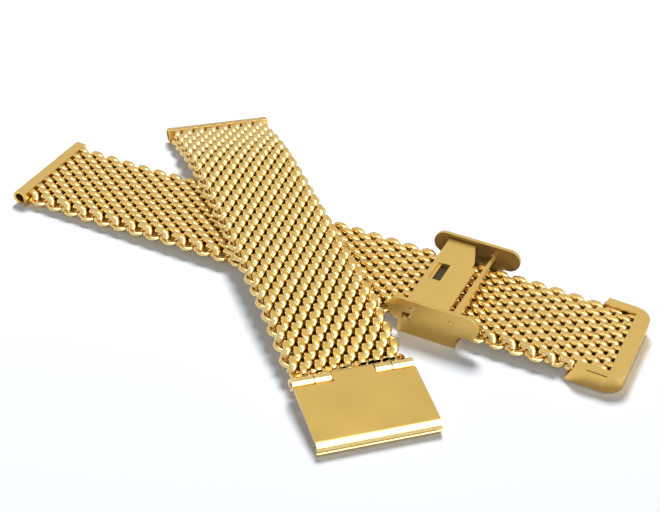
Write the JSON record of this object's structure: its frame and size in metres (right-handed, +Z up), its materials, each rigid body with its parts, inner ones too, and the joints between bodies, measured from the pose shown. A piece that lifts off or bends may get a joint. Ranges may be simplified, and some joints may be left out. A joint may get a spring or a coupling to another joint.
{
  "type": "milanese mesh band",
  "caption": "Two-part woven wire mesh watch band with a locking slider clasp and a hinged cover, laid crossed.",
  "frame": {"origin": "centre of the spring-bar channel in the long half's lug bar", "axes": "+X along the long half from its lug bar to its tip, +Y across it, +Z up"},
  "size_m": [0.125, 0.0903, 0.0075],
  "materials": {
    "mesh_wire": "polished gold plate",
    "satin_plate": "satin gold plate",
    "polished_pin": "polished gold plate"
  },
  "bodies": {
    "long_group_1": {"long_mesh_1": "mesh_wire", "long_lug_bar": "satin_plate"},
    "long_group_2": {"long_mesh_2": "mesh_wire"},
    "long_group_3": {"long_mesh_3": "mesh_wire"},
    "long_group_4": {"long_mesh_4": "mesh_wire"},
    "long_group_5": {"long_mesh_5": "mesh_wire"},
    "long_group_6": {"long_mesh_6": "mesh_wire", "tip_frame": "satin_plate"},
    "short_group_1": {"short_mesh_1": "mesh_wire", "short_lug_bar": "satin_plate"},
    "short_group_2": {"short_mesh_2": "mesh_wire"},
    "short_group_3": {"short_mesh_3": "mesh_wire"},
    "short_group_4": {"short_mesh_4": "mesh_wire"},
    "short_group_5": {"short_mesh_5": "mesh_wire"},
    "short_group_6": {"short_mesh_6": "mesh_wire", "short_end_cap": "satin_plate", "hinge_pin": "polished_pin"},
    "slider": {"slider_frame": "satin_plate", "lock_pin": "polished_pin", "hook_bar": "satin_plate"},
    "lock": {"lock_plate": "satin_plate"},
    "cover": {"cover_plate": "satin_plate"}
  },
  "joints": [
    {"name": "long_bend_1", "type": "hinge", "parent": "long_group_2", "child": "long_group_1", "pos_m": [0.01759, 0, -0.00015], "axis": [0, -1, 0], "range_deg": [-9, 12]},
    {"name": "long_bend_2", "type": "hinge", "parent": "long_group_3", "child": "long_group_2", "pos_m": [0.03242, 0, 0.00045], "axis": [0, -1, 0], "range_deg": [0, 9]},
    {"name": "long_bend_3", "type": "hinge", "parent": "long_group_4", "child": "long_group_3", "pos_m": [0.04726, 0, 0.00045], "axis": [0, -1, 0], "range_deg": [0, 12]},
    {"name": "long_bend_4", "type": "hinge", "parent": "long_group_4", "child": "long_group_5", "pos_m": [0.0621, 0, 0.00045], "axis": [0, 1, 0], "range_deg": [0, 12]},
    {"name": "long_bend_5", "type": "hinge", "parent": "long_group_5", "child": "long_group_6", "pos_m": [0.07694, 0, 0.00045], "axis": [0, 1, 0], "range_deg": [-3, 12]},
    {"name": "lift_apart", "type": "slide", "parent": "long_group_4", "child": "short_group_3", "axis": [0, 0, 1], "range_m": [0, 0.04]},
    {"name": "short_bend_2", "type": "hinge", "parent": "short_group_3", "child": "short_group_2", "pos_m": [0.04347, 0.00878, 0.00395], "axis": [0.7275, 0.6861, 0], "range_deg": [0, 12]},
    {"name": "short_bend_1", "type": "hinge", "parent": "short_group_2", "child": "short_group_1", "pos_m": [0.03329, 0.01958, 0.00395], "axis": [0.7275, 0.6861, 0], "range_deg": [0, 22]},
    {"name": "short_bend_3", "type": "hinge", "parent": "short_group_3", "child": "short_group_4", "pos_m": [0.05365, -0.00202, 0.00395], "axis": [-0.7275, -0.6861, 0], "range_deg": [0, 12]},
    {"name": "short_bend_4", "type": "hinge", "parent": "short_group_4", "child": "short_group_5", "pos_m": [0.06383, -0.01281, 0.00395], "axis": [-0.7275, -0.6861, 0], "range_deg": [0, 12]},
    {"name": "short_bend_5", "type": "hinge", "parent": "short_group_5", "child": "short_group_6", "pos_m": [0.06892, -0.01821, 0.00395], "axis": [-0.7275, -0.6861, 0], "range_deg": [0, 20]},
    {"name": "cover_hinge", "type": "hinge", "parent": "short_group_6", "child": "cover", "pos_m": [0.08151, -0.03155, 0.00157], "axis": [-0.7275, -0.6861, 0], "range_deg": [-20, 90]},
    {"name": "slider_travel", "type": "slide", "parent": "long_group_6", "child": "slider", "axis": [1, 0, 0], "range_m": [-0.0008, 0.0145]},
    {"name": "lock_swing", "type": "hinge", "parent": "slider", "child": "lock", "pos_m": [0.08454, 0, 0.00391], "axis": [0, -1, 0], "range_deg": [0, 60]}
  ]
}
